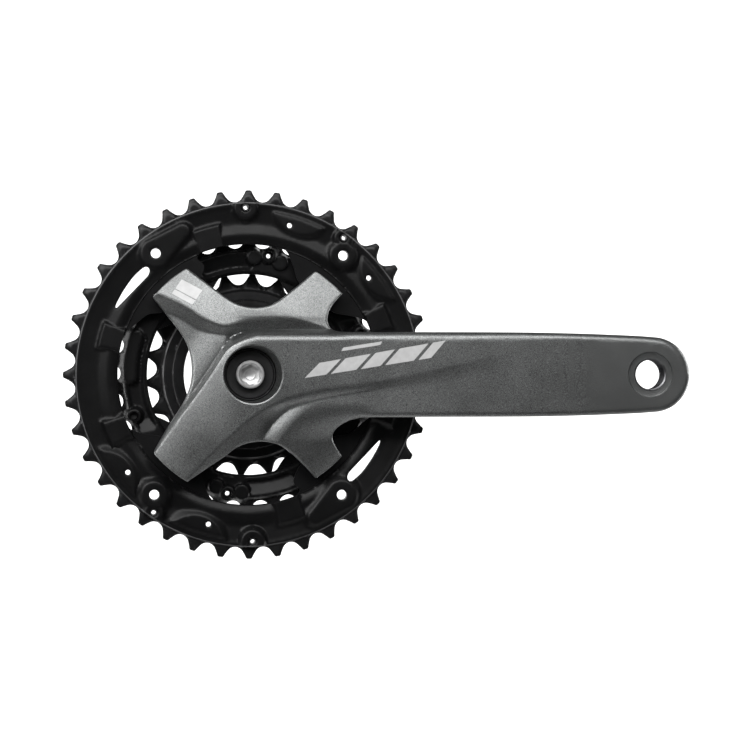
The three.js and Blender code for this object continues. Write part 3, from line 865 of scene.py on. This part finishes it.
def outer_ring():
    ring = Solid()
    outline = toothed_outline(OUTER)
    bore = []
    for i, angle in enumerate(BOLT_ANGLES):
        middle = angle + OUTER_TAB_LEANS[i]
        following = BOLT_ANGLES[(i + 1) % 4] + OUTER_TAB_LEANS[(i + 1) % 4] + (360 if i == 3 else 0)
        flank = [(57.9, middle, 24.6), (56.3, middle, 22.4), (52.2, angle, 18.6), (48.0, angle, 14.4)]
        rise = [(radius, base - off) for radius, base, off in flank]
        fall = [(radius, base + off) for radius, base, off in flank[::-1]]
        nose = [(radius, angle + off) for radius, off in (
            (46.5, -11), (46.5, -9), (42.2, -4), (41.9, 0), (42.2, 4), (46.5, 9), (46.5, 11))]
        bore.append(curve([polar(radius, at) for radius, at in rise + nose + fall], 1.0))
        bore.append(arc(58, middle + 26, following - 26, 1.0))

    holes = [resample(np.vstack(bore), 1.0, True)]
    for turn in TURNS:
        holes.append(resample(curve([polar(r, a + turn) for r, a in SLOT], 0.6, True), 0.8, True))
        for r, a in [GUARD_BOSSES[0], TEARDROPS[0][0]]:
            holes.append(circle(GUARD_HOLE_R, 24, polar(r, a + turn)))
        for r, a in SMALL_HOLES:
            holes.append(circle(SMALL_HOLE_R, 16, polar(r, a + turn)))
        for r, a, _ in PIN_BOSSES:
            holes.append(circle(PIN_HOLE_R, 20, polar(r, a + turn)))
    holes += bolt_circles(OUTER_BOLT_R, BOLT_HOLE_R, 32)

    def front(p):
        r = np.hypot(p[:, 0], p[:, 1])
        body = np.interp(r, RIM_R, RIM_Z)
        for turn in TURNS:
            for start, end in BLOCKS:
                d = sector(p, 55, 67.6, start + turn, end + turn)
                raised = higher(body, 3.35 - round_drop(d + 0.5, 0.8, 0.85), 0.2)
                body = np.where(r > 58, raised, body)
            for angle in HALF_MOONS:
                moon = disc(p, polar(HALF_MOON_CENTRE_R, angle + turn), 13.9)
                d = np.maximum(moon, r - HALF_MOON_R)
                body = higher(body, 3.3 - round_drop(d + 1.0, 1.8, 0.62), 0.1)
            for big, small in TEARDROPS:
                d = bar(p, polar(big[0], big[1] + turn), polar(small[0], small[1] + turn), 6.6, 3.2)
                body = higher(body, 3.75 - round_drop(d + 1.0, 1.8, 0.75), 0.1)
            for radius, angle in GUARD_BOSSES:
                d = disc(p, polar(radius, angle + turn), 6.0)
                body = higher(body, 3.9 - round_drop(d + 1.0, 1.6, 0.8), 0.1)
            for radius, angle, size in PIN_BOSSES:
                d = np.maximum(disc(p, polar(radius, angle + turn), size), r - 76.5)
                body = higher(body, 3.7 - round_drop(d + 0.6, 1.2, 1.2), 0.12)
        height = np.where(r > PLATE_R, TOOTH_HALF - tooth_chamfer(p, outline, OUTER), body)
        for hole in holes[1:]:
            height = height - 0.25 * np.clip(1 - distance(p, hole) / 0.4, 0, 1)
        return height

    lines = []
    for count, radii in ((480, (76.9, 76.68, 76.4, 76.1, 75.5)), (460, (73.0, 72.0)), (420, (68.0,)),
                         (400, (66.8,)), (380, (62.6, 61.8)), (360, (60.6, 59.4, 58.4, 57.8, 57.5))):
        lines += [circle(r, count) for r in radii]
    for turn in TURNS:
        for angle in HALF_MOONS:
            for radius in (12.9, 13.4, 13.9, 14.4, 14.9):
                centre = polar(HALF_MOON_CENTRE_R, angle + turn)
                lines.append(arc(radius, angle + turn + 110, angle + turn + 250, 0.7, centre))
        for radius, angle in GUARD_BOSSES:
            for size in (5.4, 5.9, 6.4, 7.0):
                lines.append(circle(size, 48, polar(radius, angle + turn)))
        for radius, angle, size in PIN_BOSSES:
            for grow in (-0.8, -0.3, 0.2):
                lines.append(circle(size + grow, 40, polar(radius, angle + turn)))
        for big, small in TEARDROPS:
            a = np.array(polar(big[0], big[1] + turn))
            b = np.array(polar(small[0], small[1] + turn))
            along = np.degrees(np.arctan2(*(b - a)[::-1]))
            lean = math.degrees(math.acos((6.4 - 3.3) / np.linalg.norm(b - a)))
            for grow in (-0.6, -0.15, 0.3, 0.7):
                drop_shape = [arc(6.4 + grow, along + lean, along + 360 - lean, 0.7, a),
                              arc(3.3 + grow, along - lean, along + lean, 0.7, b)]
                lines.append(resample(np.vstack(drop_shape), 0.7, True))
        for start, end in BLOCKS:
            for edge in (start, end):
                for shift in (-0.5, 0.0, 0.5, 1.1):
                    radii = np.arange(58.3, 68.4, 0.7)
                    out = shift if edge == end else -shift
                    lines.append(around(radii, np.radians(edge + turn + np.degrees(out / radii))))
            for radius in (67.1, 67.6, 68.2):
                lines.append(arc(radius, start + turn, end + turn, 0.7))
    ring.plate(outline, holes, front, ring_back(outline, OUTER), 1.0, (0.2, 0.5), lines)

    def material_of(polygon):
        """Steel for the toothed plate, black composite for its cover."""
        return int(math.hypot(polygon.center.x, polygon.center.z) > (PLATE_R - 0.05) * MM)

    ring.make("outer_ring_body", [RING_BLACK, RING_STEEL], "crank", ["outer_chainring"],
              material_of, 40)


# The middle ring's raised knobs: radius, angle, size and height
CLAWS = [(54.0, 80.2, 3.0, 4.0), (52.0, 74.0, 3.0, 3.3), (52.6, 86.8, 3.0, 3.2),
         (54.0, 200.0, 2.7, 3.4)]
# Where each pocket starts and ends, how low its floor lies and how fast it rises outward
POCKETS = [(91, 111, 0.5, 0.34), (163, 207, 0.3, 0.12)]
POCKET_R = 50.4
POCKET_LOW_R = 49.0
MIDDLE_RIM_R = [44.6, 45.0, 46.2, 54.6, 55.5, 56.2]
# The angle past which a pocket's floor rises again
FOLD = 203.5


def middle_ring():
    ring = Solid()
    outline = toothed_outline(MIDDLE)
    bore = []
    for i, angle in enumerate(BOLT_ANGLES):
        following = BOLT_ANGLES[(i + 1) % 4] + (360 if i == 3 else 0)
        tab = [(45.0, -25.5), (44.6, -24.0), (42.4, -20.5), (40.8, -17.0), (40.5, -15), (40.5, -10),
               (40.5, 0), (40.5, 10), (40.5, 13), (40.8, 15.0), (42.4, 18.5), (44.6, 22.0),
               (45.0, 23.5)]
        bore.append(curve([polar(radius, angle + off) for radius, off in tab], 1.0))
        bore.append(arc(45, angle + 25, following - 27, 1.0))
    holes = [resample(np.vstack(bore), 1.0, True)]
    holes += [circle(PIN_HOLE_R, 20, polar(54, a)) for a in (80.2, 260.2, 20, 200)]
    holes += bolt_circles(OUTER_BOLT_R, BOLT_HOLE_R, 32)
    top_z = MIDDLE["mid"] + TOOTH_HALF

    def front(p):
        r, angle = radius_and_angle(p)
        body = np.interp(r, MIDDLE_RIM_R, [0.4, 1.4, 2.4, 2.4, 1.6, 0.0])
        for turn in TURNS:
            for start, end, low, slope in POCKETS:
                d = arc_bar(p, POCKET_R, start + turn, end + turn, 4.0)
                walls = 2.4 - round_drop(-d, 0.5, 1.3)
                past = (angle - FOLD - turn + 180) % 360 - 180
                floor = low + slope * np.maximum(r - POCKET_LOW_R, 0) + 0.3 * np.clip(past, 0, 12)
                body = np.minimum(body, higher(walls, floor, 0.15))
            plate = arc_bar(p, 52.6, 161 + turn, 181 + turn, 2.2)
            body = higher(body, 3.3 - round_drop(plate, 0.6, 1.2), 0.15)
            for radius, place, size, top in CLAWS:
                d = disc(p, polar(radius, place + turn), size)
                body = higher(body, top - round_drop(d + 0.2, 0.6, 1.8), 0.1)
        near_bolt = np.min([disc(p, polar(OUTER_BOLT_R, a), 6.8) for a in BOLT_ANGLES], axis=0)
        body = np.where(near_bolt < 0, np.minimum(body, 0.0), body)
        return top_z + body - tooth_chamfer(p, outline, MIDDLE) * (r > 56)

    lines = [circle(r, int(r * 6)) for r in sorted(MIDDLE_RIM_R + [POCKET_LOW_R])]
    lines += bolt_circles(OUTER_BOLT_R, 6.8, 48)
    for turn in TURNS:
        for radius, angle, size, _ in CLAWS:
            for grow in (-0.3, 0.2, 0.7):
                lines.append(circle(size + grow, 32, polar(radius, angle + turn)))
        for start, end, _, _ in POCKETS:
            for half in (4.0, 3.4):
                for edge_r in (POCKET_R - half, POCKET_R + half):
                    lines.append(arc(edge_r, start + turn, end + turn, 0.6))
                lines += [circle(half, 40, polar(POCKET_R, at + turn)) for at in (start, end)]
    ring.plate(outline, holes, front, ring_back(outline, MIDDLE), 0.8, (0.25, 0.6), lines)
    ring.make("middle_ring_body", [RING_BLACK], "crank", ["middle_chainring"], sharp=35)


def inner_ring():
    ring = Solid()
    outline = toothed_outline(INNER)
    holes = [circle(28.4, 180)] + bolt_circles(INNER_BOLT_R, BOLT_HOLE_R, 32)
    top_z = INNER["mid"] + TOOTH_HALF

    def front(p):
        r = np.hypot(p[:, 0], p[:, 1])
        body = np.interp(r, [28.4, 28.9, 33.2, 33.9, 37.4, 38.2, 38.8],
                         [2.1, 2.6, 2.6, 1.5, 1.4, 0.25, 0.0])
        return top_z + body - tooth_chamfer(p, outline, INNER) * (r > 40)

    lines = [circle(r, int(r * 6)) for r in (28.9, 33.2, 33.55, 33.9, 37.4, 37.8, 38.2, 38.8)]
    ring.plate(outline, holes, front, ring_back(outline, INNER), 1.1, (0.3, 0.7), lines)
    ring.make("inner_ring_body", [RING_STEEL], "crank", ["inner_chainring"], sharp=35)


# ---------------- fixing bolt, washer and markings


def soft_hexagon(flat, count):
    """A hexagon with rounded corners as a ring of points, flat to flat."""
    angles = whole_turn(count)
    reach = flat / 2 / np.cos((angles + np.pi / 6) % (np.pi / 3) - np.pi / 6)
    return around(np.minimum(reach, flat / 2 * 1.1), angles)


def fixing_bolt():
    bolt = Solid()
    count = 60
    profile = [(3.0, -8.0), (3.5, -7.5)]
    height = -7.2
    while height < 5.0:
        profile += [(3.95, height), (3.45, height + 0.5)]
        height += BOLT_THREAD_PITCH
    profile += [(3.9, 6.0), (3.9, 8.2), (4.4, 8.3), (5.9, 8.3), (6.2, 8.6), (6.2, 12.0), (6.08, 12.4),
                (5.8, 12.66), (5.2, 12.68), (5.0, 12.55), (4.85, 12.2)]
    socket = [(soft_hexagon(8.0, count), 11.7), (soft_hexagon(7.96, count), 9.9)]
    socket += turned_rings([(3.5, 9.6), (2.5, 9.45), (2.2, 9.1), (1.0, 8.7)], count)
    made = bolt.rings(turned_rings(profile, count) + socket)
    bolt.cap(made[0])
    bolt.cap(made[-1])
    bolt.make("fixing_bolt_body", [BRIGHT], "bolt", ["fixing_bolt"], sharp=28)


def fixing_washer():
    washer = Solid()
    profile = [(4.3, 6.3), (11.1, 6.3), (11.4, 6.6), (11.4, 8.0), (11.2, 8.25), (10.95, 8.25),
               (10.8, 8.0), (10.75, 7.6), (10.5, 7.6), (10.45, 8.15), (10.2, 8.3), (6.9, 8.3),
               (6.7, 8.2), (4.5, 8.2), (4.3, 7.9)]
    washer.turned(profile, 96, closed=True)
    washer.make("fixing_washer_body", [WASHER_BLACK], "washer", ["fixing_washer"],
                sharp=28)


def decal(name, outlines, material):
    """A thin print that follows the arm's face."""
    mark = Solid()
    for outline in outlines:
        outline = resample(outline, 0.5, True)
        top, bottom = (mark.sheet([outline], lambda p: arm_front(p) + lift, 0.7)
                       for lift in (0.02, -0.15))
        mark.bridge(top[0], bottom[0])
    mark.make(name, [material], "crank", sharp=12)


def markings():
    """A row of slanted bars along the arm, and a two-part tab on the upper left spider arm."""
    base, rise, height, lean = (23.5, -1.5), 0.16, 6.6, 6.4
    bars = []
    for start, end in ((0, 9.5), (11.5, 22.5), (24.5, 33.0), (35.0, 47.5), (49.5, 55.0)):
        low = [(base[0] + t, base[1] + rise * t) for t in (start, end)]
        high = [(x + lean, y + height + 0.02 * (x - base[0])) for x, y in low]
        bars.append([low[0], low[1], high[1], high[0]])
    low = [(base[0] + t, base[1] + rise * t + height + 2.6) for t in (16, 33)]
    high = [(x + 0.8, y + 1.6) for x, y in low]
    bars.append([low[0], low[1], high[1], high[0]])
    decal("arm_stripe_marking", bars, PRINT)

    corner, along, across = np.array([(-34.4, 35.6), (8.6, -5.5), (4.4, 6.4)])
    tab = []
    for low, high in ((0.0, 0.30), (0.36, 1.0)):
        quad = [(u, v + 0.1 * u) for u, v in ((0.0, low), (1.0, low), (1.0, high), (0.0, high))]
        tab.append([corner + u * along + v * across for u, v in quad])
    decal("spider_tab_marking", tab, BADGE)


crank_arm()
outer_ring()
middle_ring()
inner_ring()
fixing_bolt()
fixing_washer()
markings()

# ---------------- carried-over CAD pieces

for name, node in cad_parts.items():
    if name.startswith(("ring_", "inner_bolt", "outer_lift", "middle_lift")):
        for material_slot in node.material_slots:
            material_slot.material = WASHER_BLACK

# ---------------- stage, light and camera


def stage_material():
    look = Look("stage_white", 0.0, specular=0.2)
    look.colour(look.mottled(3, 2, (0.88, 0.88, 0.88), (0.90, 0.90, 0.90)))
    look.roughness(5, 2, 0.75, 0.85)
    return look.material


def backdrop():
    """A pale floor that curves up into a wall behind the object."""
    floor_z, top_z, wall_y, front_y, bend, half = -1.2, 0.75, 1.35, -1.4, 0.4, 0.95
    profile = [(front_y, floor_z), (wall_y - bend, floor_z)]
    for i in range(1, 13):
        a = math.pi / 2 * i / 12
        profile.append((wall_y - bend + bend * math.sin(a), floor_z + bend - bend * math.cos(a)))
    profile.append((wall_y, top_z))
    verts = [(x, y, z) for x in (-half, half) for y, z in profile]
    n = len(profile)
    faces = [(i, i + 1, n + i + 1, n + i) for i in range(n - 1)]
    mesh = bpy.data.meshes.new("backdrop")
    mesh.from_pydata(verts, [], faces)
    for polygon in mesh.polygons:
        polygon.use_smooth = True
    mesh.materials.append(stage_material())
    new_object("backdrop", mesh)


def area_light(name, place, target, size, power):
    """A soft rectangle of light at place that faces target: size in metres, power in watts."""
    data = bpy.data.lights.new(name, "AREA")
    data.shape = "RECTANGLE"
    data.size, data.size_y = size
    data.energy = power
    light = new_object(name, data)
    light.location = place
    light.rotation_euler = (Vector(target) - Vector(place)).to_track_quat("-Z", "Y").to_euler()


def world_light(strength, seen):
    """Even light of one strength all round, and a pale surrounding of another where it is seen."""
    world = bpy.data.worlds.new("soft_studio")
    world.use_nodes = True
    nodes, links = world.node_tree.nodes, world.node_tree.links
    path = nodes.new("ShaderNodeLightPath")
    mix = nodes.new("ShaderNodeMixShader")
    surround = nodes.new("ShaderNodeBackground")
    for node, value in ((nodes["Background"], strength), (surround, seen)):
        node.inputs["Color"].default_value = (1, 1, 1, 1)
        node.inputs["Strength"].default_value = value
    links.new(path.outputs["Is Camera Ray"], mix.inputs[0])
    links.new(nodes["Background"].outputs[0], mix.inputs[1])
    links.new(surround.outputs[0], mix.inputs[2])
    links.new(mix.outputs[0], nodes["World Output"].inputs["Surface"])
    bpy.context.scene.world = world


# The camera's place in metres, its turn to the right in degrees and its lens in millimetres
CAMERA_PLACE = (-0.060, -1.0, -0.0002)
CAMERA_YAW = 6.65
LENS = 107.808


def camera():
    data = bpy.data.cameras.new("camera")
    data.lens = LENS
    data.clip_start = 0.05
    data.clip_end = 20
    made = new_object("camera", data)
    made.location = CAMERA_PLACE
    made.rotation_euler = (math.pi / 2, 0, -math.radians(CAMERA_YAW))
    bpy.context.scene.camera = made


backdrop()
world_light(0.06, 1.0)
area_light("key", (-0.18, -0.80, 0.66), (0.02, 0, 0), (1.7, 0.5), 17)
area_light("back_fill", (0.4, 1.0, 0.8), (0.05, 0, 0), (1.0, 0.5), 5)
area_light("side_left", (-0.72, -0.85, 0.36), (0, 0, 0), (0.4, 0.6), 4.5)
area_light("backdrop_left", (-1.15, 0.25, 0.0), (-0.1, 1.35, 0), (0.6, 1.4), 30)
area_light("backdrop_right", (1.25, 0.25, 0.0), (0.2, 1.35, 0), (0.6, 1.4), 30)
camera()
bpy.context.scene.view_settings.view_transform = "Standard"
